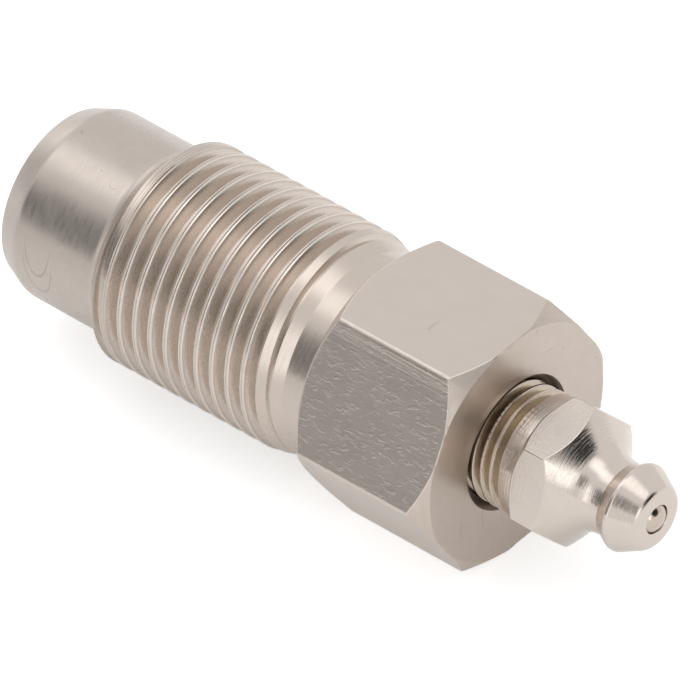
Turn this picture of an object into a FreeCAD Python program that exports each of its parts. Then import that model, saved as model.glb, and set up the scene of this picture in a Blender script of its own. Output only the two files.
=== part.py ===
import FreeCAD, Part

import math
import os

# Grease valve with a grease nipple screwed into its hex, in millimetres.
# Both are turned from hexagonal bar. They are drawn standing on the valve's
# nose, height 0 at the nose's end, and laid on a hex flat when they are saved.

# Valve body, outside, from the nose up
nose_diameter = 15.36
nose_length = 9.75
nose_chamfer_length = 1.98
nose_chamfer_angle = 22.6           # from the axis
nose_edge_radius = 1.6              # soft edge between the chamfer and the nose
thread_major_diameter = 17.97       # M18 x 1.5, external
thread_length = 15.85               # from the nose's shoulder to the run-out
thread_start_angle = 45.0           # lead-in chamfer, from the axis
runout_length = 3.3
neck_diameter = 16.4
neck_length = 2.3
hex_across_flats = 18.9             # 19 mm spanner
hex_length = 12.95
hex_edge_radius = 0.5                # the drawn bar's rounded corners
hex_back_face_diameter = 18.7
hex_back_slope = 40.4               # chamfer, from the face
hex_front_face_diameter = 19.1
hex_front_slope = 41.5

# Valve body, inside, from the hex's face down
countersink_diameter = 10.9
countersink_angle = 45.0            # from the axis
tapped_depth = 9.6
tap_drill_diameter = 8.6
tap_drill_depth = 13.2
drill_point_slope = 31.0            # 118 degree drill, from the face
passage_diameter = 3.8
outlet_chamfer = 0.4

# Nipple, outside. Its pipe thread is tapered and jams before the hex seats.
nipple_standoff = 3.5               # from the valve's face to the nipple's hex
nipple_thread_diameter = 9.80       # 1/8 inch pipe thread, at the nipple's hex
nipple_thread_taper = 1.0 / 16.0
nipple_thread_length = 6.6
nipple_lead_chamfer = 0.6
thread_clearance = 0.02             # radial, nipple in the tapped hole
nipple_across_flats = 10.0
nipple_edge_radius = 0.12
nipple_hex_turn = 10.4              # degrees, against the valve's hex
nipple_hex_back_slope = 40.0        # cone behind the flats, from the face
nipple_hex_corner_length = 1.85     # length of the hex's corners
nipple_front_slope = 38.8           # cone in front of the flats, from the face
neck_groove_diameter = 5.9
neck_groove_fillet = 2.6
head_back_height = 6.62             # from the nipple's hex to the head's back rim
head_back_length = 1.05
head_diameter = 7.0
head_band_length = 0.25
head_front_angle = 28.0             # from the axis
head_front_length = 1.98
head_front_radius = 0.7

# Nipple, inside, with its ball and spring
ball_diameter = 3.0
ball_bore_diameter = 3.4
ball_seat_angle = 30.0              # from the axis
ball_seat_clearance = 0.015
mouth_diameter = 2.34
mouth_depth = 0.15                  # the ball stands a little out of the mouth
spring_lip_diameter = 2.0           # crimped in behind the spring
spring_lip_thickness = 0.5
spring_wire_diameter = 0.36
spring_mean_diameter = 2.5
spring_turns = 6.5
spring_wire_sides = 6               # the round wire, drawn with flats
spring_clearance = 0.03

AXIS = FreeCAD.Vector(0, 0, 1)
ORIGIN = FreeCAD.Vector(0, 0, 0)


def tan(degrees):
    return math.tan(math.radians(degrees))


def sin(degrees):
    return math.sin(math.radians(degrees))


def cos(degrees):
    return math.cos(math.radians(degrees))


def corner_arc(before, corner, after, radius):
    """Start, middle and end of the arc that rounds a profile's corner."""
    to_before = (before - corner).normalize()
    to_after = (after - corner).normalize()
    half_angle = to_before.getAngle(to_after) / 2
    centre = corner + (to_before + to_after).normalize() * (radius / math.sin(half_angle))
    setback = radius / math.tan(half_angle)
    middle = centre + (corner - centre).normalize() * radius
    return corner + to_before * setback, middle, corner + to_after * setback


def outlined_face(corners, radii):
    """Face inside the corners, each rounded by its radius where that isn't 0."""
    edges = []
    ends = []
    for index, corner in enumerate(corners):
        start = end = corner
        if radii[index]:
            after = corners[(index + 1) % len(corners)]
            start, middle, end = corner_arc(corners[index - 1], corner, after, radii[index])
            edges.append(Part.Arc(start, middle, end).toShape())
        ends.append((start, end))
    for index in range(len(ends)):
        edges.append(Part.makeLine(ends[index - 1][1], ends[index][0]))
    return Part.Face(Part.Wire(Part.__sortEdges__(edges)))


def turned(profile):
    """Solid turned from points of (radius, height), or (radius, height, corner radius)."""
    corners = [FreeCAD.Vector(point[0], 0, point[1]) for point in profile]
    radii = [point[2] if len(point) == 3 else 0 for point in profile]
    return outlined_face(corners, radii).revolve(ORIGIN, AXIS, 360)


def hexagonal_bar(across_flats, edge_radius, bottom, top, turn):
    """Hexagonal bar with a flat facing along X, turned on about its axis."""
    corners = []
    for side in range(6):
        angle = turn + 60 * side + 30
        radius = across_flats / 2 / cos(30)
        corners.append(FreeCAD.Vector(radius * cos(angle), radius * sin(angle), bottom))
    return outlined_face(corners, [edge_radius] * 6).extrude(AXIS * (top - bottom))


# Heights along the valve body
shoulder_height = nose_length
runout_height = shoulder_height + thread_length
neck_height = runout_height + runout_length
hex_height = neck_height + neck_length
face_height = hex_height + hex_length

# Heights along the nipple
nipple_hex_height = face_height + nipple_standoff
shank_height = nipple_hex_height - nipple_thread_length
head_height = nipple_hex_height + head_back_height
band_height = head_height + head_back_length
front_cone_height = band_height + head_band_length
mouth_height = front_cone_height + head_front_length


def pipe_thread_radius(height):
    """Major radius of the nipple's tapered thread."""
    return (nipple_thread_diameter - (nipple_hex_height - height) * nipple_thread_taper) / 2


def valve_body():
    nose = nose_diameter / 2
    thread = thread_major_diameter / 2
    neck = neck_diameter / 2
    bar = hex_across_flats / 2 / cos(30) + 1
    back_rim = hex_back_face_diameter / 2
    front_rim = hex_front_face_diameter / 2
    hex_back_chamfer = (bar - back_rim) * tan(hex_back_slope)
    hex_front_chamfer = (bar - front_rim) * tan(hex_front_slope)
    outside = turned([
        (0, 0),
        (nose - nose_chamfer_length * tan(nose_chamfer_angle), 0),
        (nose, nose_chamfer_length, nose_edge_radius),
        (nose, shoulder_height),
        (thread, shoulder_height + (thread - nose) / tan(thread_start_angle)),
        (thread, runout_height),
        (neck, neck_height),
        (neck, hex_height),
        (back_rim, hex_height),
        (bar, hex_height + hex_back_chamfer),
        (bar, face_height - hex_front_chamfer),
        (front_rim, face_height),
        (0, face_height),
    ])
    spanner_flats = hexagonal_bar(hex_across_flats, hex_edge_radius, hex_height, face_height, 0)
    round_stock = Part.makeCylinder(bar, hex_height)
    return outside.common(spanner_flats.fuse(round_stock)).removeSplitter().cut(valve_bore())


def valve_bore():
    rim = countersink_diameter / 2
    tap_end_height = face_height - tapped_depth
    drill_end_height = face_height - tap_drill_depth
    drill = tap_drill_diameter / 2
    passage = passage_diameter / 2

    def tapped_radius(height):
        return pipe_thread_radius(height) + thread_clearance

    countersink_depth = (rim - tapped_radius(face_height)) / tan(countersink_angle)
    countersink_height = face_height - countersink_depth
    return turned([
        (0, 0),
        (passage + outlet_chamfer, 0),
        (passage, outlet_chamfer),
        (passage, drill_end_height - (drill - passage) * tan(drill_point_slope)),
        (drill, drill_end_height),
        (drill, tap_end_height),
        (tapped_radius(tap_end_height), tap_end_height),
        (tapped_radius(countersink_height), countersink_height),
        (rim, face_height),
        (0, face_height),
    ])


def nipple_body():
    shank_end = pipe_thread_radius(shank_height)
    shank = nipple_thread_diameter / 2
    corner = nipple_across_flats / 2 / cos(30)
    groove = neck_groove_diameter / 2
    head = head_diameter / 2
    corner_back_height = nipple_hex_height + (corner - shank) * tan(nipple_hex_back_slope)
    corner_front_height = corner_back_height + nipple_hex_corner_length
    groove_height = corner_front_height + (corner - groove) * tan(nipple_front_slope)
    face_rim = head - head_front_length * tan(head_front_angle)
    outside = turned([
        (0, shank_height),
        (shank_end - nipple_lead_chamfer, shank_height),
        (pipe_thread_radius(shank_height + nipple_lead_chamfer), shank_height + nipple_lead_chamfer),
        (shank, nipple_hex_height),
        (corner, corner_back_height),
        (corner, corner_front_height),
        (groove, groove_height, neck_groove_fillet),
        (groove, head_height),
        (head, band_height),
        (head, front_cone_height),
        (face_rim, mouth_height, head_front_radius),
        (0, mouth_height),
    ])
    return outside.common(nipple_spanner_flats()).cut(nipple_bore())


def nipple_spanner_flats():
    return hexagonal_bar(
        nipple_across_flats, nipple_edge_radius, shank_height, mouth_height, nipple_hex_turn
    )


def nipple_bore():
    lip = spring_lip_diameter / 2
    bore = ball_bore_diameter / 2
    mouth = mouth_diameter / 2
    seat_height = mouth_height - mouth_depth
    return turned([
        (0, shank_height),
        (lip, shank_height),
        (lip, shank_height + spring_lip_thickness),
        (bore, shank_height + spring_lip_thickness),
        (bore, seat_height - (bore - mouth) / tan(ball_seat_angle)),
        (mouth, seat_height),
        (mouth, mouth_height),
        (0, mouth_height),
    ])


def ball_centre_height():
    """Height at which the ball closes the seat, less its clearance."""
    seat_height = mouth_height - mouth_depth
    cone_tip_height = seat_height + mouth_diameter / 2 / tan(ball_seat_angle)
    return cone_tip_height - (ball_diameter / 2 + ball_seat_clearance) / sin(ball_seat_angle)


def check_ball():
    return Part.makeSphere(ball_diameter / 2, AXIS * ball_centre_height())


def ball_spring():
    """Coil from the crimped lip to the back of the ball."""
    coil = spring_mean_diameter / 2
    wire = spring_wire_diameter / 2
    reach = ball_diameter / 2 + wire + spring_clearance
    bottom = shank_height + spring_lip_thickness + wire + spring_clearance
    top = ball_centre_height() - math.sqrt(reach ** 2 - coil ** 2)
    helix = Part.makeHelix((top - bottom) / spring_turns, top - bottom, coil)
    helix.translate(AXIS * bottom)
    corners = []
    for side in range(spring_wire_sides):
        angle = 360 * side / spring_wire_sides
        corners.append(FreeCAD.Vector(coil + wire * cos(angle), 0, bottom + wire * sin(angle)))
    section = Part.makePolygon(corners + [corners[0]])
    return Part.Wire(helix.Edges).makePipeShell([section], True, True)


def laid_on_a_flat(shape):
    """Turn the part's axis to +X, with a hex flat below and the origin under its middle."""
    overall_length = ball_centre_height() + ball_diameter / 2
    lowest = hex_across_flats / 2
    quarter_turn = FreeCAD.Rotation(FreeCAD.Vector(0, 1, 0), 90)
    place = FreeCAD.Placement(FreeCAD.Vector(-overall_length / 2, 0, lowest), quarter_turn)
    laid = shape.copy()
    laid.Placement = place.multiply(shape.Placement)
    return laid


os.makedirs("parts", exist_ok=True)
for make_piece in (valve_body, nipple_body, check_ball, ball_spring):
    laid_on_a_flat(make_piece()).exportStep("parts/" + make_piece.__name__ + ".step")
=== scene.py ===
import math

import bpy
from mathutils import Matrix, Vector


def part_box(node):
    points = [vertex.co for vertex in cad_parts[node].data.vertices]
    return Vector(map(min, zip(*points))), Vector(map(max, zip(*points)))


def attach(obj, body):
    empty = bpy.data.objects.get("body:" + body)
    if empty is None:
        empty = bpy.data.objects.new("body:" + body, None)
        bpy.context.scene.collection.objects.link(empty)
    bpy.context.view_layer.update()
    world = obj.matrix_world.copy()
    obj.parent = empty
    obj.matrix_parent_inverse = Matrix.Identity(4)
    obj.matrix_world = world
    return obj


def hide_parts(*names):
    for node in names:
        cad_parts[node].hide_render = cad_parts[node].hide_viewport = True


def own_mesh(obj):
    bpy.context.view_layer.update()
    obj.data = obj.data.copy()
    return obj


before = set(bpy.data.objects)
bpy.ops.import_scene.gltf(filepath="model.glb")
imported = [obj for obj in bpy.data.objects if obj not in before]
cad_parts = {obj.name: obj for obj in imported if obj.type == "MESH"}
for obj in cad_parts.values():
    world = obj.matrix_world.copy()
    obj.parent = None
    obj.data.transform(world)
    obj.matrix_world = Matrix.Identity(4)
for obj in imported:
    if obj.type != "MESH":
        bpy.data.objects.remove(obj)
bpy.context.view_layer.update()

# Valve body
# One piece of steel turned from 19 mm hexagonal bar: plain nose, M18 x 1.5
# thread cut with a single point, run-out, neck and spanner hex. It is nickel
# plated all over, which leaves it satin and a little warm in colour.

MM = 0.001
BODY_LOW, BODY_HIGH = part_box("valve_body")
NOSE_END = BODY_LOW.x
AXIS_HEIGHT = (BODY_LOW.z + BODY_HIGH.z) / 2


def on_part(height, radius=0.0, turn=0.0):
    """Place in metres, from the height over the nose's end and the radius in mm.

    The turn is in degrees, from the top toward the side that the photograph shows.
    """
    angle = math.radians(turn)
    across = Vector((0, -math.sin(angle), math.cos(angle)))
    return Vector((NOSE_END + height * MM, 0, AXIS_HEIGHT)) + across * radius * MM


def in_mm(height, radius=0.0, turn=0.0):
    """The same place in mm, from the middle of the nose's end."""
    return (on_part(height, radius, turn) - on_part(0)) / MM


def tan(degrees):
    return math.tan(math.radians(degrees))


def cos(degrees):
    return math.cos(math.radians(degrees))


ARC_STEPS = 5


def with_arcs(profile):
    """Profile of (height, radius) in mm, where a third number rounds that corner by its radius."""
    points = []
    for index, point in enumerate(profile):
        if len(point) == 2:
            points.append(point)
            continue
        corner = Vector(point[:2])
        before = (Vector(profile[index - 1][:2]) - corner).normalized()
        after = (Vector(profile[(index + 1) % len(profile)][:2]) - corner).normalized()
        half_angle = before.angle(after) / 2
        centre = corner + (before + after).normalized() * point[2] / math.sin(half_angle)
        start = corner + before * point[2] / math.tan(half_angle) - centre
        end = corner + after * point[2] / math.tan(half_angle) - centre
        for step in range(ARC_STEPS + 1):
            ray = start.slerp(end, step / ARC_STEPS)
            points.append(tuple(centre + ray.normalized() * point[2]))
    return points


ROUND_SIDES = 192
SAME_PLACE = 0.001  # mm, points nearer than this are one


def turned(name, profile):
    """Closed solid: a circle, extruded from each point of its profile to the next."""
    bpy.ops.object.select_all(action="DESELECT")
    height, radius = profile[0]
    bpy.ops.mesh.primitive_circle_add(
        vertices=ROUND_SIDES, radius=radius * MM, location=on_part(height),
        rotation=(0, math.radians(90), 0))
    piece = bpy.context.object
    piece.name = piece.data.name = name
    bpy.ops.object.transform_apply()
    bpy.ops.object.mode_set(mode="EDIT")
    bpy.ops.mesh.select_all(action="SELECT")
    for next_height, next_radius in profile[1:] + profile[:1]:
        bpy.ops.mesh.extrude_region_move(
            TRANSFORM_OT_translate={"value": ((next_height - height) * MM, 0, 0)})
        share = next_radius / radius
        bpy.ops.transform.resize(value=(1, share, share), center_override=on_part(next_height))
        height, radius = next_height, next_radius
    bpy.ops.mesh.select_all(action="SELECT")
    bpy.ops.mesh.remove_doubles(threshold=SAME_PLACE * MM)
    bpy.ops.mesh.normals_make_consistent(inside=False)
    bpy.ops.object.mode_set(mode="OBJECT")
    return piece


def cut_off(turn, distance):
    """Cut away what lies further than that from the axis, toward that turn, and close the cut."""
    place = on_part(0, distance, turn)
    bpy.ops.mesh.select_all(action="SELECT")
    # Blender's own threshold is 0.1 mm, which would bend the cut to points near it.
    bpy.ops.mesh.bisect(
        plane_co=place, plane_no=place - on_part(0), use_fill=True, clear_outer=True,
        threshold=1e-8)


# Directions of the cuts that round a corner of the bar, from the corner's middle
ROUNDING_CUTS = (-24, -12, 0, 12, 24)


def mill_flats(across_flats, edge_radius, turn):
    """Give the active piece its six flats, the first facing that turn, with rounds between them."""
    round_centre = (across_flats / 2 - edge_radius) / cos(30)
    bpy.ops.object.mode_set(mode="EDIT")
    for side in range(6):
        cut_off(turn + 60 * side, across_flats / 2)
        for lean in ROUNDING_CUTS:
            cut_off(turn + 60 * side + 30 + lean, round_centre * cos(lean) + edge_radius)
    bpy.ops.object.mode_set(mode="OBJECT")


HEX_EDGE_ANGLE = 15  # degrees between two faces, from which their edge is bevelled


def break_hex_edges(piece, low, high, inner_radius, width):
    """Bevel the sharp edges round the flats, between two heights and outside a radius."""
    bpy.ops.object.mode_set(mode="EDIT")
    bpy.ops.mesh.select_mode(type="EDGE")
    bpy.ops.mesh.select_all(action="DESELECT")
    bpy.ops.object.mode_set(mode="OBJECT")
    normals_at = {}
    for face in piece.data.polygons:
        for key in face.edge_keys:
            normals_at.setdefault(key, []).append(face.normal)
    for edge in piece.data.edges:
        ends = [piece.data.vertices[index].co - on_part(0) for index in edge.vertices]
        outside = all(math.hypot(end.y, end.z) > inner_radius * MM for end in ends)
        between = all(low * MM <= end.x <= high * MM for end in ends)
        normals = normals_at[tuple(sorted(edge.vertices))]
        edge.select = (
            outside and between and normals[0].dot(normals[1]) < cos(HEX_EDGE_ANGLE))
    bpy.ops.object.mode_set(mode="EDIT")
    bpy.ops.mesh.bevel(offset=width * MM, segments=3, affect="EDGES", clamp_overlap=False)
    bpy.ops.object.mode_set(mode="OBJECT")


# Where a groove's side rounds over into the crest, as shares of the round's size:
# along from the crest's corner, and out from it. The last point is clear of the crest.
CREST_ROUND = ((-0.5, -0.87), (-0.13, -0.25), (0.35, -0.01), (0.9, 0.25))


def groove_outline(pitch, crest, root, depth, major, edge):
    """Sixty degree groove with a flat root and rounded crest edges, as (along, radius) in mm."""
    top = (pitch - crest) / 2
    side = [(root / 2, major - depth)]
    for along, out in CREST_ROUND:
        side.append((top + edge * along, major + edge * out))
    return side + [(-along, radius) for along, radius in reversed(side)]


def thread_cutter(pitch, start, turns, outline, steps, raised):
    """Helical cutter with that outline. raised(turns) is how far out it stands there, in mm."""
    bpy.ops.object.select_all(action="DESELECT")
    bpy.ops.mesh.primitive_circle_add(vertices=len(outline), radius=MM, location=on_part(start))
    cutter = bpy.context.object
    cutter.name = "thread_cutter"
    for vertex, (along, radius) in zip(cutter.data.vertices, outline):
        vertex.co = (along * MM, 0, radius * MM)
    helix = cutter.modifiers.new("helix", "SCREW")
    helix.axis = "X"
    helix.screw_offset = pitch * MM
    helix.iterations = turns
    helix.steps = helix.render_steps = steps
    bpy.ops.object.modifier_apply(modifier="helix")
    for vertex in cutter.data.vertices:
        outward = Vector((0, vertex.co.y, vertex.co.z)).normalized()
        vertex.co += outward * raised(vertex.index // len(outline) / steps) * MM
    bpy.ops.object.mode_set(mode="EDIT")
    bpy.ops.mesh.select_all(action="SELECT")
    bpy.ops.mesh.fill_holes(sides=0)
    bpy.ops.mesh.select_all(action="SELECT")
    bpy.ops.mesh.normals_make_consistent(inside=False)
    bpy.ops.object.mode_set(mode="OBJECT")
    return cutter


def cut_thread(piece, cutter):
    """Take the cutter's shape out of the piece, and the cutter out of the scene."""
    bpy.ops.object.select_all(action="DESELECT")
    bpy.context.view_layer.objects.active = piece
    piece.select_set(True)
    groove = piece.modifiers.new("groove", "BOOLEAN")
    groove.operation = "DIFFERENCE"
    groove.solver = "EXACT"
    groove.object = cutter
    bpy.ops.object.modifier_apply(modifier="groove")
    bpy.data.objects.remove(cutter)


SMOOTH_UP_TO = 28  # degrees between two faces


def even_shading(piece):
    """Shade curves smoothly while flats and cones stay flat up to their edges."""
    bpy.context.view_layer.objects.active = piece
    piece.select_set(True)
    bpy.ops.object.shade_smooth_by_angle(angle=math.radians(SMOOTH_UP_TO))
    weighted = piece.modifiers.new("weighted", "WEIGHTED_NORMAL")
    weighted.keep_sharp = True
    bpy.ops.object.modifier_apply(modifier="weighted")


# Heights over the nose's end, and radii, in mm
NOSE_RADIUS = 7.68
SHOULDER = 9.75
THREAD_RADIUS = 8.985
RUNOUT = 26.2
NECK = 28.7
NECK_RADIUS = 8.2
HEX_BACK = 31.2
FACE = 44.15
ACROSS_FLATS = 18.9
HEX_ROUND = ACROSS_FLATS / 2 / cos(30) + 1
BACK_RIM = 9.35
FRONT_RIM = 9.55
BACK_CHAMFER = (HEX_ROUND - BACK_RIM) * tan(40.4)
FRONT_CHAMFER = (HEX_ROUND - FRONT_RIM) * tan(41.5)
COUNTERSINK = 5.45
TAPPED_DEPTH = 9.6
DRILLED_DEPTH = 13.2
DRILL_RADIUS = 4.3
PASSAGE_RADIUS = 1.9

valve_body = turned("valve_body_threaded", with_arcs([
    (0, PASSAGE_RADIUS + 0.4),  # the outlet's small chamfer
    (0, 6.856, 0.15),  # the nose's end, and its chamfer of 22.6 degrees
    (1.98, NOSE_RADIUS, 1.6),
    (SHOULDER, NOSE_RADIUS, 1.3),
    (SHOULDER + 1.05, THREAD_RADIUS, 0.1),
    (RUNOUT, THREAD_RADIUS),
    (NECK, NECK_RADIUS, 0.35),
    (HEX_BACK, NECK_RADIUS, 0.1),
    (HEX_BACK, BACK_RIM, 0.12),
    (HEX_BACK + BACK_CHAMFER, HEX_ROUND),
    (FACE - FRONT_CHAMFER, HEX_ROUND),
    (FACE, FRONT_RIM, 0.15),
    # Two rings on the flat face keep its shading even.
    (FACE, FRONT_RIM - 0.35),
    (FACE, COUNTERSINK + 0.3),
    (FACE, COUNTERSINK, 0.12),
    (FACE - 0.64, 4.81),  # the countersink's foot, where the tapered hole begins
    (FACE - TAPPED_DEPTH, 4.51),
    (FACE - TAPPED_DEPTH, DRILL_RADIUS),
    (FACE - DRILLED_DEPTH, DRILL_RADIUS),
    (29.51, PASSAGE_RADIUS),  # the drill's point
    (0.4, PASSAGE_RADIUS),
]))
mill_flats(ACROSS_FLATS, edge_radius=0.5, turn=0)
break_hex_edges(
    valve_body, low=HEX_BACK - 0.1, high=FACE + 0.1, inner_radius=BACK_RIM + 0.1, width=0.09)

THREAD_PITCH = 1.5
CREST_AT_TOP = 22.08  # height of a crest's middle at turn 0
CREST_WIDTH = 0.32
CREST_EDGE = 0.09
ROOT_WIDTH = 0.22
THREAD_DEPTH = 0.85
GROOVE_TURNS = 14
GROOVE_START = CREST_AT_TOP - THREAD_PITCH * 9.5


def ramp(turns, start, length):
    """Rises from 0 to 1 over so many turns."""
    return min(max((turns - start) / length, 0), 1)


CLEAR_OF_DEPTH = 0.95
# Moves of the tool away from the axis: from which turn, over how many turns, by how many mm
TOOL_MOVES = (
    (1.9, 0.2, -0.3),  # it touches the lead-in chamfer,
    (2.1, 0.45, -0.65),  # feeds in to the full depth,
    (12.4, 0.8, 0.26),  # eases off in the last turn
    (13.42, 0.3, 1.4),  # and leaves the groove
)


def main_tool(turns):
    """How far outside the groove's full depth the tool stands, in mm."""
    raised = CLEAR_OF_DEPTH
    for start, length, move in TOOL_MOVES:
        raised += move * ramp(turns, start, length)
    return raised


def burnisher(turns):
    """The hollow along the crest comes and goes a little, so that its two edges are uneven."""
    wander = 0.008 * math.sin(43 * turns) + 0.006 * math.sin(101 * turns + 1)
    return 1 - ramp(turns, 2.9, 0.1) + wander + ramp(turns, 13.4, 0.3)


cut_thread(valve_body, thread_cutter(
    THREAD_PITCH, GROOVE_START, GROOVE_TURNS,
    groove_outline(THREAD_PITCH, CREST_WIDTH, ROOT_WIDTH, THREAD_DEPTH, THREAD_RADIUS, CREST_EDGE),
    steps=180, raised=main_tool))
# Each crest shows two bright edges, with a shallow hollow between them that is 0.055 mm deep.
CREST_HOLLOW = [(-0.03, 8.93), (-0.1, 9.02), (0.1, 9.02), (0.03, 8.93)]
cut_thread(valve_body, thread_cutter(
    THREAD_PITCH, GROOVE_START - THREAD_PITCH / 2, GROOVE_TURNS, CREST_HOLLOW,
    steps=120, raised=burnisher))
even_shading(valve_body)


def linear(code):
    """Linear colour from an sRGB hex value."""
    shares = [int(code[place:place + 2], 16) / 255 for place in (1, 3, 5)]
    return [
        share / 12.92 if share <= 0.04045 else ((share + 0.055) / 1.055) ** 2.4
        for share in shares
    ] + [1]


def add_node(tree, kind, settings=None, **inputs):
    """Node with its settings, and a value or link for each input, named, or numbered as i0, i1."""
    node = tree.nodes.new(kind)
    for name, value in (settings or {}).items():
        setattr(node, name, value)
    for name, value in inputs.items():
        socket = node.inputs[int(name[1:]) if name[1:].isdigit() else name.replace("_", " ")]
        if isinstance(value, bpy.types.NodeSocket):
            tree.links.new(value, socket)
        else:
            socket.default_value = value
    return node


def new_metal(name):
    material = bpy.data.materials.new(name)
    material.use_nodes = True
    shader = material.node_tree.nodes["Principled BSDF"]
    shader.inputs["Metallic"].default_value = 1.0
    return material, material.node_tree, shader


def place_in_mm(tree):
    """Place on the part in mm, with X from the nose's end and the axis at Y 0, Z 0."""
    coordinates = add_node(tree, "ShaderNodeTexCoord")
    mapped = add_node(
        tree, "ShaderNodeMapping",
        Vector=coordinates.outputs["Object"],
        Location=on_part(0) / -MM,
        Scale=(1 / MM, 1 / MM, 1 / MM))
    return mapped.outputs["Vector"]


def place_round_axis(tree, place):
    """Height and radius in mm, and turn in radians, as one vector."""
    parts = add_node(tree, "ShaderNodeSeparateXYZ", Vector=place)
    across = add_node(
        tree, "ShaderNodeVectorMath", {"operation": "MULTIPLY"}, i0=place, i1=(0, 1, 1))
    radius = add_node(
        tree, "ShaderNodeVectorMath", {"operation": "LENGTH"}, i0=across.outputs[0])
    turn = add_node(
        tree, "ShaderNodeMath", {"operation": "ARCTAN2"},
        i0=parts.outputs["Y"], i1=parts.outputs["Z"])
    return add_node(
        tree, "ShaderNodeCombineXYZ",
        X=parts.outputs["X"], Y=radius.outputs["Value"], Z=turn.outputs[0]).outputs[0]


def grain(tree, place, per_unit, detail=3.0, roughness=0.6):
    """Noise that is drawn out by how many grains it has to each mm or radian of its place."""
    stretched = add_node(
        tree, "ShaderNodeVectorMath", {"operation": "MULTIPLY"}, i0=place, i1=per_unit)
    return add_node(
        tree, "ShaderNodeTexNoise",
        Vector=stretched.outputs[0], Scale=1.0, Detail=detail, Roughness=roughness).outputs[0]


def scratch(tree, place, start, end, width):
    """Share of a straight scratch or spot at each place, from its ends and its width in mm."""
    run = end - start
    offset = add_node(
        tree, "ShaderNodeVectorMath", {"operation": "SUBTRACT"}, i0=place, i1=start)
    share = add_node(
        tree, "ShaderNodeVectorMath", {"operation": "DOT_PRODUCT"},
        i0=offset.outputs[0], i1=run / run.length_squared)
    held = add_node(tree, "ShaderNodeClamp", Value=share.outputs["Value"])
    nearest = add_node(
        tree, "ShaderNodeVectorMath", {"operation": "MULTIPLY"}, i0=run, i1=held.outputs[0])
    gap = add_node(
        tree, "ShaderNodeVectorMath", {"operation": "DISTANCE"},
        i0=offset.outputs[0], i1=nearest.outputs[0])
    return add_node(
        tree, "ShaderNodeMapRange", {"interpolation_type": "SMOOTHSTEP"},
        Value=gap.outputs["Value"], From_Min=0.0, From_Max=width,
        To_Min=1.0, To_Max=0.0).outputs[0]


def dried_drop(tree, place, centre, half_length, half_width):
    """Share of the thin oval edge that a drop leaves where it dries, fading out on its upper side."""
    line_width = 0.045
    offset = add_node(
        tree, "ShaderNodeVectorMath", {"operation": "SUBTRACT"}, i0=place, i1=centre)
    scaled = add_node(
        tree, "ShaderNodeVectorMath", {"operation": "MULTIPLY"},
        i0=offset.outputs[0], i1=(1 / half_length, 0, 1 / half_width))
    reach = add_node(
        tree, "ShaderNodeVectorMath", {"operation": "LENGTH"}, i0=scaled.outputs[0])
    edge = add_node(
        tree, "ShaderNodeMath", {"operation": "COMPARE"},
        i0=reach.outputs["Value"], i1=1.0, i2=line_width / half_length)
    parts = add_node(tree, "ShaderNodeSeparateXYZ", Vector=scaled.outputs[0])
    lower = add_node(
        tree, "ShaderNodeMapRange",
        Value=parts.outputs["Z"], From_Min=-0.1, From_Max=0.5, To_Min=0.0, To_Max=1.0)
    return add_node(
        tree, "ShaderNodeMath", {"operation": "MULTIPLY"},
        i0=edge.outputs[0], i1=lower.outputs[0]).outputs[0]


def strongest(tree, shares):
    """The highest of several shares at each place."""
    highest = shares[0]
    for share in shares[1:]:
        highest = add_node(
            tree, "ShaderNodeMath", {"operation": "MAXIMUM"}, i0=highest, i1=share).outputs[0]
    return highest


def darkened(tree, colour, where, share, tint):
    """Colour with a tint mixed in, up to that share of it."""
    amount = add_node(tree, "ShaderNodeMath", {"operation": "MULTIPLY"}, i0=where, i1=share)
    return add_node(
        tree, "ShaderNodeMix", {"data_type": "RGBA"},
        Factor=amount.outputs[0], i6=colour, i7=linear(tint)).outputs[2]


MARK_DIRT = 0.26
MARK_DEPTH = 0.4  # as a share of the face's own relief


def marked(tree, colour, height, marks):
    """Colour and height with marks in them, which hold a little dirt and lie a little lower."""
    colour = darkened(tree, colour, marks, MARK_DIRT, "#5E5048")
    height = add_node(
        tree, "ShaderNodeMath", {"operation": "MULTIPLY_ADD"},
        i0=marks, i1=-MARK_DEPTH, i2=height)
    return colour, height.outputs[0]


def surfaced(tree, shader, colour, sheen, height, relief):
    """Give the shader its colour and roughness, and a bump so many mm deep."""
    bump = add_node(tree, "ShaderNodeBump", Strength=1.0, Distance=relief * MM, Height=height)
    tree.links.new(colour, shader.inputs["Base Color"])
    tree.links.new(sheen, shader.inputs["Roughness"])
    tree.links.new(bump.outputs[0], shader.inputs["Normal"])


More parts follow.
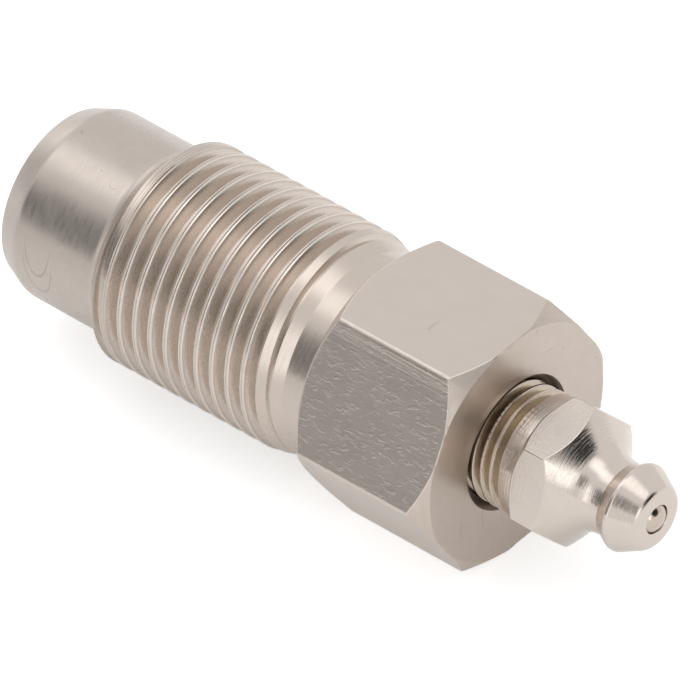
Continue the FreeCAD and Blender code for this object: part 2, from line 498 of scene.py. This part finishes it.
def turned_nickel(
        name, pale, deep, roughness, relief, per_mm,
        marks=(), drops=(), rolled_radius=0, dark_line=0):
    """Nickel on a turned face: rings and short strokes from the tool under a soft-edged gloss.

    Real feed marks are finer than the picture's pixels of 0.085 mm, so they are drawn coarser,
    with per_mm of them to the mm. Marks and drops are placed on the face, or on a sheet that
    is rolled onto rolled_radius if that is given. A brown line of painted shade, for the shadow
    under a crest's edge, is darkest from the radius dark_line outward, and ends 0.2 mm inside it.
    """
    material, tree, shader = new_metal(name)
    place = place_in_mm(tree)
    around = place_round_axis(tree, place)
    # Grains to each mm of height and radius, and to each radian round the axis
    rings = grain(tree, around, (per_mm, per_mm, 0.5), 4.0, 0.65)
    strokes = grain(tree, around, (per_mm * 0.7, per_mm * 0.7, 5.0))
    cloud = grain(tree, place, (0.7, 0.7, 0.7))
    colour = add_node(
        tree, "ShaderNodeMix", {"data_type": "RGBA"},
        Factor=cloud, i6=linear(pale), i7=linear(deep)).outputs[2]
    height = add_node(
        tree, "ShaderNodeMath", {"operation": "MULTIPLY_ADD"},
        i0=strokes, i1=0.8, i2=rings).outputs[0]
    if dark_line:
        # Painted shade: the flank darkens toward its crest, for the shadow under the crest's edge.
        parts = add_node(tree, "ShaderNodeSeparateXYZ", Vector=around)
        shade_under_crest = add_node(
            tree, "ShaderNodeMapRange", {"interpolation_type": "SMOOTHSTEP"},
            Value=parts.outputs["Y"], From_Min=dark_line - 0.2, From_Max=dark_line,
            To_Min=0.0, To_Max=1.0)
        colour = darkened(tree, colour, shade_under_crest.outputs[0], 0.2, "#574A40")
    if marks:
        sheet = place
        if rolled_radius:
            sheet = add_node(
                tree, "ShaderNodeVectorMath", {"operation": "MULTIPLY"},
                i0=around, i1=(1, 0, -rolled_radius)).outputs[0]
        shares = [scratch(tree, sheet, *mark) for mark in marks]
        shares += [dried_drop(tree, sheet, *drop) for drop in drops]
        colour, height = marked(tree, colour, height, strongest(tree, shares))
    sheen = add_node(
        tree, "ShaderNodeMapRange", Value=strokes, From_Min=0.0, From_Max=1.0,
        To_Min=roughness * 0.6, To_Max=roughness * 1.4)
    surfaced(tree, shader, colour, sheen.outputs[0], height, relief)
    return material


def drawn_nickel(name, pale, deep, roughness, relief, marks):
    """Nickel on the bar's own flats: lines from the drawing die, and pits where scale was.

    Die lines are some 0.2 mm apart and run the whole length. They are deep only beside the
    corner between the top and front flats. The pits are 0.3 mm wide and 0.7 mm long, and
    deep only on the front flat.
    """
    material, tree, shader = new_metal(name)
    place = place_in_mm(tree)
    die_lines = grain(tree, place, (0.06, 4.5, 4.5), 2.5)
    pits = grain(tree, place, (1.5, 3.6, 3.6), 2.0)
    cloud = grain(tree, place, (0.35, 0.7, 0.7))
    # The front flat faces turn 60, and its upper corner is at turn 30.
    toward_front = add_node(
        tree, "ShaderNodeVectorMath", {"operation": "DOT_PRODUCT"}, i0=place, i1=in_mm(0, 1, 60))
    front_share = add_node(
        tree, "ShaderNodeMapRange",
        Value=toward_front.outputs["Value"], From_Min=9.2, From_Max=9.4, To_Min=0.1, To_Max=0.6)
    toward_corner = add_node(
        tree, "ShaderNodeVectorMath", {"operation": "DOT_PRODUCT"}, i0=place, i1=in_mm(0, 1, 30))
    corner_share = add_node(
        tree, "ShaderNodeMapRange",
        Value=toward_corner.outputs["Value"], From_Min=10.1, From_Max=10.3,
        To_Min=0.22, To_Max=9.0)
    pitted = add_node(
        tree, "ShaderNodeMapRange", {"interpolation_type": "SMOOTHSTEP"},
        Value=pits, From_Min=0.5, From_Max=0.74, To_Min=0.0, To_Max=1.0)
    pit_height = add_node(
        tree, "ShaderNodeMath", {"operation": "MULTIPLY"},
        i0=pitted.outputs[0], i1=front_share.outputs[0])
    line_depth = add_node(
        tree, "ShaderNodeMath", {"operation": "MULTIPLY"},
        i0=front_share.outputs[0], i1=corner_share.outputs[0])
    centred = add_node(tree, "ShaderNodeMath", {"operation": "SUBTRACT"}, i0=die_lines, i1=0.5)
    line_height = add_node(
        tree, "ShaderNodeMath", {"operation": "MULTIPLY"},
        i0=centred.outputs[0], i1=line_depth.outputs[0])
    height = add_node(
        tree, "ShaderNodeMath", {"operation": "MULTIPLY_ADD"},
        i0=pit_height.outputs[0], i1=1.7, i2=line_height.outputs[0])
    colour = add_node(
        tree, "ShaderNodeMix", {"data_type": "RGBA"},
        Factor=cloud, i6=linear(pale), i7=linear(deep))
    shares = [scratch(tree, place, *mark) for mark in marks]
    colour, height = marked(
        tree, colour.outputs[2], height.outputs[0], strongest(tree, shares))
    sheen = add_node(
        tree, "ShaderNodeMapRange", Value=cloud, From_Min=0.0, From_Max=1.0,
        To_Min=roughness * 0.85, To_Max=roughness * 1.15)
    surfaced(tree, shader, colour, sheen.outputs[0], height, relief)
    return material


def finish_faces(piece, materials, which):
    """Give each face the material that which(height, radius, turn, outwardness) names."""
    piece.data.materials.clear()
    for material in materials.values():
        piece.data.materials.append(material)
    numbers = {finish: number for number, finish in enumerate(materials)}
    for face in piece.data.polygons:
        place = (face.center - on_part(0)) / MM
        radius = math.hypot(place.y, place.z)
        turn = math.degrees(math.atan2(-place.y, place.z))
        outward = (place.y * face.normal.y + place.z * face.normal.z) / max(radius, 0.01)
        face.material_index = numbers[which(place.x, radius, turn, outward)]


def rolled_out(height, radius, turn):
    """Place on a round face that is rolled out to a flat sheet, in mm."""
    return Vector((height, 0, math.radians(turn) * radius))


def on_nose(height, turn):
    return rolled_out(height, NOSE_RADIUS, turn)


def on_flat(height, along, turn):
    """Place on the hex flat that faces that turn, so far along it from its middle, in mm."""
    angle = math.radians(turn)
    across = Vector((0, -math.cos(angle), -math.sin(angle)))
    return in_mm(height, ACROSS_FLATS / 2, turn) + across * along


# Spots and scratches that show, each with its two ends and its width in mm
NOSE_SPOTS = [
    (on_nose(2.56, 1), on_nose(2.75, 3.2), 0.13),
    (on_nose(6.39, 17.3), on_nose(6.45, 17.6), 0.13),
    (on_nose(1.59, 55), on_nose(1.6, 56), 0.12),
]
FACE_SCRATCHES = [
    (in_mm(FACE, 9.26, -18.4), in_mm(FACE, 9.2, -17.6), 0.16),
    (in_mm(FACE, 8.08, -28.1), in_mm(FACE, 8.0, -28.0), 0.1),
    (in_mm(FACE, 7.10, -27.3), in_mm(FACE, 7.52, -36.0), 0.07),
    (in_mm(FACE, 7.73, -44.9), in_mm(FACE, 7.65, -45.5), 0.1),
    (in_mm(FACE, 9.11, -77.0), in_mm(FACE, 9.05, -77.4), 0.12),
    (in_mm(FACE, 5.5, 132.4), in_mm(FACE, 6.43, 139.9), 0.07),
    (in_mm(FACE, 7.2, 117.1), in_mm(FACE, 8.02, 125.7), 0.07),
    (in_mm(FACE, 5.97, 158.7), in_mm(FACE, 6.76, 162.7), 0.06),
]
FLAT_SCRATCHES = [
    (on_flat(38.33, 2.33, 0), on_flat(38.28, 1.75, 0), 0.1),
    (on_flat(38.28, 1.75, 0), on_flat(38.35, 1.36, 0), 0.1),
    (on_flat(39.30, -2.07, 60), on_flat(39.48, -1.6, 60), 0.06),
]
# Drops that dried on the nose, each with its middle, half its length and half its width
DRIED_DROPS = [
    (on_nose(4.2, 70), 1.2, 3.1),
    (on_nose(4.3, 80), 1.4, 3.35),
    (on_nose(8.07, 22), 0.32, 0.26),
]
# Three fine lines that run with the thread over the band at its start
LEAD_IN_LINES = [
    (
        rolled_out(10.83 + offset, THREAD_RADIUS, -40),
        rolled_out(11.52 + offset, THREAD_RADIUS, 125),
        0.075,
    )
    for offset in (0.1, 0.36, 0.62)
]
FULL_THREAD = 12.2  # height from which the crests are whole


def from_crest(height, turn):
    """How far along the axis the nearest crest's middle is, in mm."""
    pitches = (height - CREST_AT_TOP) / THREAD_PITCH - turn / 360
    return abs(pitches - round(pitches)) * THREAD_PITCH


def body_finish(height, radius, turn, outward):
    on_crest = radius > THREAD_RADIUS - CREST_EDGE
    if height < SHOULDER + 0.3:
        return "nose"
    if height < NECK - 0.4 and radius < THREAD_RADIUS - CREST_EDGE and outward < 0.9:
        return "flank"
    if FULL_THREAD < height < RUNOUT and on_crest and 0.07 < from_crest(height, turn) < 0.25:
        return "crest edge"
    if height > FACE - 10 and radius < COUNTERSINK - 0.01:
        return "countersink"
    if height > HEX_BACK and radius > 9:
        if outward > 0.8:
            return "flat"
        return "face" if height > FACE - 0.01 else "chamfer"
    return "face" if height > FACE - 0.01 else "turned"


finish_faces(valve_body, {
    # Finely turned: an even, soft gloss with hardly any relief, and the marks of dried drops
    "nose": turned_nickel(
        "satin_nickel_on_fine_turned_nose", "#C8BEB5", "#BDB3AC",
        roughness=0.30, relief=0.0029, per_mm=5.0,
        marks=NOSE_SPOTS, drops=DRIED_DROPS, rolled_radius=NOSE_RADIUS),
    # Flanks of the thread: deeper tool marks, and a brown line of painted shade under each crest
    "flank": turned_nickel(
        "satin_nickel_on_thread_flanks", "#D6CBC1", "#CEC3B9",
        roughness=0.27, relief=0.005, per_mm=6.0, dark_line=8.88),
    # Band at the thread's start, run-out and neck: a little glossier than the nose
    "turned": turned_nickel(
        "satin_nickel_on_turned_steel", "#CFC4BA", "#C8BCB2",
        roughness=0.25, relief=0.005, per_mm=6.0,
        marks=LEAD_IN_LINES, rolled_radius=THREAD_RADIUS),
    # Left as the bar was drawn: even, with pits on the front flat and lines by its upper corner
    "flat": drawn_nickel(
        "satin_nickel_on_drawn_bar", "#D2C8BF", "#CABFB6",
        roughness=0.3, relief=0.009, marks=FLAT_SCRATCHES),
    # Two thin pale lines along every whole crest: a painted highlight in the paler colour, with a
    # little more gloss
    "crest edge": turned_nickel(
        "satin_nickel_on_crests_painted_highlight", "#E4DBD3", "#D3C9C0",
        roughness=0.2, relief=0.006, per_mm=9.0),
    # Painted shade: dull and dark brown in the countersink and hole round the nipple
    "countersink": turned_nickel(
        "nickel_in_the_countersink_painted_shade", "#8C7D6E", "#665A4F",
        roughness=0.35, relief=0.006, per_mm=6.0),
    # Faced across: nearly matt, with faint rings and a few spots and scratches
    "face": turned_nickel(
        "satin_nickel_on_faced_end", "#CCC1B7", "#C4B8AD",
        roughness=0.34, relief=0.003, per_mm=4.0, marks=FACE_SCRATCHES),
    # Chamfered: the dullest, which mirrors nothing clearly
    "chamfer": turned_nickel(
        "satin_nickel_on_chamfers", "#CFC4BA", "#C8BCB2",
        roughness=0.5, relief=0.004, per_mm=5.0),
}, body_finish)
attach(valve_body, "body")
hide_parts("valve_body")

# Nipple
# One piece of steel turned from 10 mm hexagonal bar and screwed into the
# valve's hex by its tapered 1/8 inch pipe thread. Bright nickel plating on a
# rougher turned surface.

SHANK_END = 41.05
NIPPLE_HEX = 47.65
SHANK_RADIUS = 4.9
NIPPLE_FLATS = 10.0
CORNER = NIPPLE_FLATS / 2 / cos(30)
CORNER_BACK = NIPPLE_HEX + (CORNER - SHANK_RADIUS) * tan(40)
CORNER_FRONT = CORNER_BACK + 1.85
NIPPLE_NECK = 2.95
NECK_START = CORNER_FRONT + (CORNER - NIPPLE_NECK) * tan(38.8)
HEAD_RADIUS = 3.5
HEAD_BACK = 54.27
MOUTH = 57.55
MOUTH_RADIUS = 1.17
SEAT = MOUTH - 0.15
BALL_BORE = 1.7
LIP_RADIUS = 1.0

nipple = turned("nipple_threaded", with_arcs([
    (SHANK_END, LIP_RADIUS),
    (SHANK_END, 4.09),
    (SHANK_END + 0.6, 4.71),  # the shank's lead chamfer
    (NIPPLE_HEX - 0.25, 4.89),
    (NIPPLE_HEX, SHANK_RADIUS),
    (CORNER_BACK, CORNER),
    (CORNER_FRONT, CORNER),
    (NECK_START, NIPPLE_NECK, 2.6),
    (HEAD_BACK, NIPPLE_NECK, 0.1),
    (HEAD_BACK + 1.05, HEAD_RADIUS, 0.2),
    (HEAD_BACK + 1.3, HEAD_RADIUS, 0.3),
    (MOUTH, 2.447, 0.65),  # the front cone's rim
    (MOUTH, MOUTH_RADIUS + 0.03),
    (MOUTH - 0.03, MOUTH_RADIUS),
    (SEAT, MOUTH_RADIUS),
    (SEAT - 0.53 / tan(30), BALL_BORE),  # the seat, of 30 degrees
    (SHANK_END + 0.5, BALL_BORE),
    (SHANK_END + 0.5, LIP_RADIUS),
]))
mill_flats(NIPPLE_FLATS, edge_radius=0.12, turn=10.4)
break_hex_edges(
    nipple, low=NIPPLE_HEX + 0.05, high=NECK_START, inner_radius=SHANK_RADIUS + 0.05, width=0.05)

NIPPLE_PITCH = 0.907
NIPPLE_TAPER = 1 / 32  # of the radius, along the axis
NIPPLE_GROOVE_AT_TOP = 45.98  # height of a groove's middle at turn 0
NIPPLE_GROOVE_START = NIPPLE_GROOVE_AT_TOP - 6 * NIPPLE_PITCH


def pipe_tool(turns):
    """The tool follows the taper, and leaves before the hex."""
    from_hex = NIPPLE_HEX - NIPPLE_GROOVE_START - NIPPLE_PITCH * turns
    return 1.4 * ramp(turns, 6.4, 0.45) - from_hex * NIPPLE_TAPER


cut_thread(nipple, thread_cutter(
    NIPPLE_PITCH, NIPPLE_GROOVE_START, 7,
    groove_outline(
        NIPPLE_PITCH, crest=0.17, root=0.1, depth=0.54, major=SHANK_RADIUS, edge=0.04),
    steps=128, raised=pipe_tool))
even_shading(nipple)


def nipple_finish(height, radius, turn, outward):
    crest = SHANK_RADIUS - (NIPPLE_HEX - height) * NIPPLE_TAPER
    if height < NIPPLE_HEX - 0.3 and radius < crest - 0.045 and outward < 0.9:
        return "flank"
    return "crest" if height < 46.5 else "turned"


finish_faces(nipple, {
    # Bright plating on deep turning marks: it mirrors the tent in sharp, streaky patches.
    "turned": turned_nickel(
        "bright_nickel_on_turned_steel", "#D6CCC3", "#CEC3BA",
        roughness=0.07, relief=0.017, per_mm=9.0),
    # Darker and yellower than the crests, as painted shade in the grooves, with a brown line of
    # painted shade under each crest of the pipe thread
    "flank": turned_nickel(
        "bright_nickel_on_thread_flanks", "#C9BCAA", "#B5A793",
        roughness=0.2, relief=0.006, per_mm=8.0, dark_line=4.84),
    # Crests of the pipe thread: thin pale lines, a painted highlight in the paler colour, with a
    # little more gloss
    "crest": turned_nickel(
        "bright_nickel_on_crests_painted_highlight", "#F0E8E1", "#DDD3CA",
        roughness=0.13, relief=0.006, per_mm=12.0),
}, nipple_finish)
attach(nipple, "body")
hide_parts("nipple_body")

# Check ball
# A 3 mm ball-bearing ball, ground and polished, that its spring holds in the
# nipple's mouth. It is mirror bright and more neutral than the plating.

BALL_RADIUS = 1.5
BALL_CENTRE = 56.3965

bpy.ops.object.select_all(action="DESELECT")
bpy.ops.mesh.primitive_cube_add(size=2 * MM, location=on_part(BALL_CENTRE))
ball = bpy.context.object
ball.name = ball.data.name = "check_ball_polished"
rounds = ball.modifiers.new("rounds", "SUBSURF")
rounds.levels = rounds.render_levels = 5
bpy.ops.object.modifier_apply(modifier="rounds")
ground = ball.modifiers.new("ground", "CAST")
ground.factor = 1.0
ground.use_radius_as_size = False
ground.size = BALL_RADIUS * MM
bpy.ops.object.modifier_apply(modifier="ground")
bpy.ops.object.transform_apply()
bpy.ops.object.shade_smooth()


def polished_steel():
    """Polished bearing steel: a mirror that hairlines and a thin film of grease disturb.

    Real hairlines are far finer than a pixel, so they are drawn 0.07 mm apart, about one.
    """
    material, tree, shader = new_metal("polished_bearing_steel")
    place = place_in_mm(tree)
    film = grain(tree, place, (1.2, 1.2, 1.2))
    hairlines = grain(tree, place, (3.0, 14.0, 14.0))
    sheen = add_node(
        tree, "ShaderNodeMapRange",
        Value=film, From_Min=0.3, From_Max=0.7, To_Min=0.07, To_Max=0.16)
    colour = add_node(
        tree, "ShaderNodeMix", {"data_type": "RGBA"},
        Factor=film, i6=linear("#CFC3B8"), i7=linear("#BFB0A3"))
    surfaced(tree, shader, colour.outputs[2], sheen.outputs[0], hairlines, 0.0008)
    return material


ball.data.materials.clear()
ball.data.materials.append(polished_steel())
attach(ball, "ball")
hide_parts("check_ball")

# Ball spring
# Coil of 0.36 mm spring wire between the nipple's crimped lip and the ball.
# Its last turn at each end is closed, so that it stands square on both.

SPRING_LOW = 41.76
SPRING_HIGH = 55.23
SPRING_RADIUS = 1.25
WIRE_RADIUS = 0.18
CLOSED_PITCH = 0.38
OPEN_TURNS = 6
WIRE_SIDES = 12
COIL_STEPS = 48

bpy.ops.object.select_all(action="DESELECT")
bpy.ops.mesh.primitive_circle_add(
    vertices=WIRE_SIDES, radius=WIRE_RADIUS * MM, location=on_part(SPRING_LOW))
spring = bpy.context.object
spring.name = spring.data.name = "ball_spring_coiled"
bpy.ops.object.mode_set(mode="EDIT")
bpy.ops.mesh.select_all(action="SELECT")
bpy.ops.transform.rotate(
    value=math.radians(90), orient_axis="X", center_override=on_part(SPRING_LOW))
bpy.ops.transform.translate(value=(0, 0, SPRING_RADIUS * MM))
bpy.ops.object.mode_set(mode="OBJECT")
coil = spring.modifiers.new("coil", "SCREW")
coil.axis = "X"
coil.screw_offset = CLOSED_PITCH * MM
coil.iterations = OPEN_TURNS + 2
coil.steps = coil.render_steps = COIL_STEPS
bpy.ops.object.modifier_apply(modifier="coil")
# Pull the turns between the two closed ones apart.
opened = (SPRING_HIGH - SPRING_LOW - CLOSED_PITCH * (OPEN_TURNS + 2)) / OPEN_TURNS
for vertex in spring.data.vertices:
    turns = vertex.index // WIRE_SIDES / COIL_STEPS
    vertex.co.x += min(max(turns - 1, 0), OPEN_TURNS) * opened * MM
bpy.ops.object.mode_set(mode="EDIT")
bpy.ops.mesh.select_all(action="SELECT")
bpy.ops.mesh.fill_holes(sides=0)
bpy.ops.mesh.select_all(action="SELECT")
bpy.ops.mesh.normals_make_consistent(inside=False)
bpy.ops.object.mode_set(mode="OBJECT")
bpy.ops.object.transform_apply()
bpy.ops.object.shade_smooth_by_angle(angle=math.radians(40))


def spring_wire():
    """Drawn spring steel: dark grey, half gloss, with faint lines where the die drew it.

    The lines are 0.08 mm apart, a quarter of the wire's width.
    """
    material, tree, shader = new_metal("drawn_spring_steel")
    place = place_in_mm(tree)
    lines = grain(tree, place_round_axis(tree, place), (12.0, 12.0, 1.0))
    colour = add_node(
        tree, "ShaderNodeMix", {"data_type": "RGBA"},
        Factor=lines, i6=linear("#9B9894"), i7=linear("#7E7A76"))
    bump = add_node(tree, "ShaderNodeBump", Strength=1.0, Distance=0.002 * MM, Height=lines)
    tree.links.new(colour.outputs[2], shader.inputs["Base Color"])
    tree.links.new(bump.outputs[0], shader.inputs["Normal"])
    shader.inputs["Roughness"].default_value = 0.32
    return material


spring.data.materials.clear()
spring.data.materials.append(spring_wire())
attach(spring, "body")
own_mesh(spring)
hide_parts("ball_spring")

# Floor, light and camera
# A pale table in a white light tent, whose panels and gaps the metal mirrors,
# seen from the photograph's angle.

bpy.ops.object.select_all(action="DESELECT")
bpy.ops.mesh.primitive_plane_add(size=8, location=(0, 0, 0))
floor = bpy.context.object
floor.name = "floor"
floor_material = bpy.data.materials.new("white_table")
floor_material.use_nodes = True
tree = floor_material.node_tree
tree.nodes.clear()
path = add_node(tree, "ShaderNodeLightPath")
camera_or_glossy = add_node(
    tree, "ShaderNodeMath", {"operation": "MAXIMUM"},
    i0=path.outputs["Is Camera Ray"], i1=path.outputs["Is Glossy Ray"])
seen = add_node(
    tree, "ShaderNodeMath", {"operation": "MAXIMUM"},
    i0=camera_or_glossy.outputs[0], i1=path.outputs["Is Transmission Ray"])
# The table glows for what mirrors it, and more for the camera, but less round this place, in
# front of the nose's side: a patch of painted shade that the metal mirrors.
PAINTED_SHADE_PLACE = (-0.075, -0.075, 0)
where = add_node(tree, "ShaderNodeNewGeometry").outputs["Position"]
from_painted_shade = add_node(
    tree, "ShaderNodeVectorMath", {"operation": "DISTANCE"}, i0=where, i1=PAINTED_SHADE_PLACE)
table_level = add_node(
    tree, "ShaderNodeMapRange",
    Value=from_painted_shade.outputs["Value"], From_Min=0.03, From_Max=0.1, To_Min=0.0, To_Max=0.24)
mirrored_level = add_node(
    tree, "ShaderNodeMath", {"operation": "MULTIPLY"},
    i0=seen.outputs[0], i1=table_level.outputs[0])
glow_level = add_node(
    tree, "ShaderNodeMath", {"operation": "MULTIPLY_ADD"},
    i0=path.outputs["Is Camera Ray"], i1=0.3, i2=mirrored_level.outputs[0])
paper = add_node(tree, "ShaderNodeBsdfDiffuse", Color=linear("#EDEDED"))
glow = add_node(
    tree, "ShaderNodeEmission", Color=(1, 1, 1, 1), Strength=glow_level.outputs[0])
lit = add_node(tree, "ShaderNodeAddShader", i0=paper.outputs[0], i1=glow.outputs[0])
add_node(tree, "ShaderNodeOutputMaterial", Surface=lit.outputs[0])
floor.data.materials.append(floor_material)

world = bpy.data.worlds.new("light_tent")
bpy.context.scene.world = world
world.use_nodes = True
tree = world.node_tree
tree.nodes.clear()
toward = add_node(tree, "ShaderNodeTexCoord").outputs["Generated"]


def tent_panel(direction, inner, outer, stretch, change, level):
    """Brighten or darken the tent round a direction.

    The change is whole within the inner angle and ends at the outer one. A stretch under 1
    makes the panel longer that way.
    """
    centre = (Vector(direction).normalized() * Vector(stretch)).normalized()
    stretched = add_node(
        tree, "ShaderNodeVectorMath", {"operation": "MULTIPLY"}, i0=toward, i1=stretch)
    facing = add_node(
        tree, "ShaderNodeVectorMath", {"operation": "NORMALIZE"}, i0=stretched.outputs[0])
    nearness = add_node(
        tree, "ShaderNodeVectorMath", {"operation": "DOT_PRODUCT"},
        i0=facing.outputs[0], i1=centre)
    share = add_node(
        tree, "ShaderNodeMapRange", {"interpolation_type": "SMOOTHSTEP"},
        Value=nearness.outputs["Value"], From_Min=cos(outer), From_Max=cos(inner))
    return add_node(
        tree, "ShaderNodeMath", {"operation": "MULTIPLY_ADD"},
        i0=share.outputs[0], i1=change, i2=level).outputs[0]


TENT_LEVEL = 0.93

level = TENT_LEVEL
for panel in (
    # Bright panels. This one gives the long highlight of the nose, crests and neck,
    ((-0.45, -0.06, 0.89), 6, 20, (0.6, 1, 1), 0.62),
    # the next the upper side of the run-out and of the nipple's head,
    ((0.22, 0.14, 0.96), 8, 22, (0.6, 1, 1), 0.65),
    # the run-out halfway down,
    ((0.06, -0.77, 0.63), 4, 14, (1, 1, 1), 0.35),
    # the low side of the run-out and neck,
    ((-0.10, -0.92, 0.30), 6, 17, (1, 1, 0.45), 0.7),
    # the white patch on the nipple's front cone and ball,
    ((0.90, -0.40, 0.24), 6, 14, (1, 1, 0.5), 0.9),
    # and the upper part of the nose's end chamfer.
    ((-0.86, 0.35, 0.36), 8, 20, (1, 1, 1), 0.45),
    # Dark gaps. This one gives the band along the nose and neck, and the hex's front flat,
    ((-0.55, -0.78, 0.31), 8, 26, (1, 1, 0.7), -0.71),
    # the next the thread's flanks that face the hex,
    ((0.48, -0.62, 0.62), 7, 20, (1, 1, 1), -0.6),
    # the dark patch on the nipple's cone and ball,
    ((0.87, 0.28, 0.38), 15, 27, (1, 1, 1), -0.89),
    # and the middle of the nose's end chamfer.
    ((-0.96, -0.12, 0.18), 10, 28, (1, 1, 1), -0.25),
):
    level = tent_panel(*panel, level)
path = add_node(tree, "ShaderNodeLightPath")
tent = add_node(tree, "ShaderNodeBackground", Color=(1, 1, 1, 1), Strength=level)
white = add_node(tree, "ShaderNodeBackground", Color=(1, 1, 1, 1), Strength=1.0)
mixed = add_node(
    tree, "ShaderNodeMixShader",
    i0=path.outputs["Is Camera Ray"], i1=tent.outputs[0], i2=white.outputs[0])
add_node(tree, "ShaderNodeOutputWorld", Surface=mixed.outputs[0])

# Solved from the photograph, which has almost no perspective: 1.5 m away, with a long lens
CAMERA_PLACE = Vector((NOSE_END + 0.78146, -0.77881, 0.98008))
FOCAL_LENGTH = 1058.8

bpy.ops.object.select_all(action="DESELECT")
bpy.ops.object.camera_add(location=CAMERA_PLACE)
camera = bpy.context.object
camera.matrix_world = Matrix((
    (0.74919, -0.41216, 0.51849, CAMERA_PLACE.x),
    (0.66028, 0.52678, -0.53531, CAMERA_PLACE.y),
    (-0.0525, 0.7434, 0.6668, CAMERA_PLACE.z),
    (0, 0, 0, 1),
))
camera.data.lens = FOCAL_LENGTH
camera.data.sensor_width = 36
camera.data.clip_start = 0.1
bpy.context.scene.camera = camera
bpy.context.scene.view_settings.view_transform = "Standard"
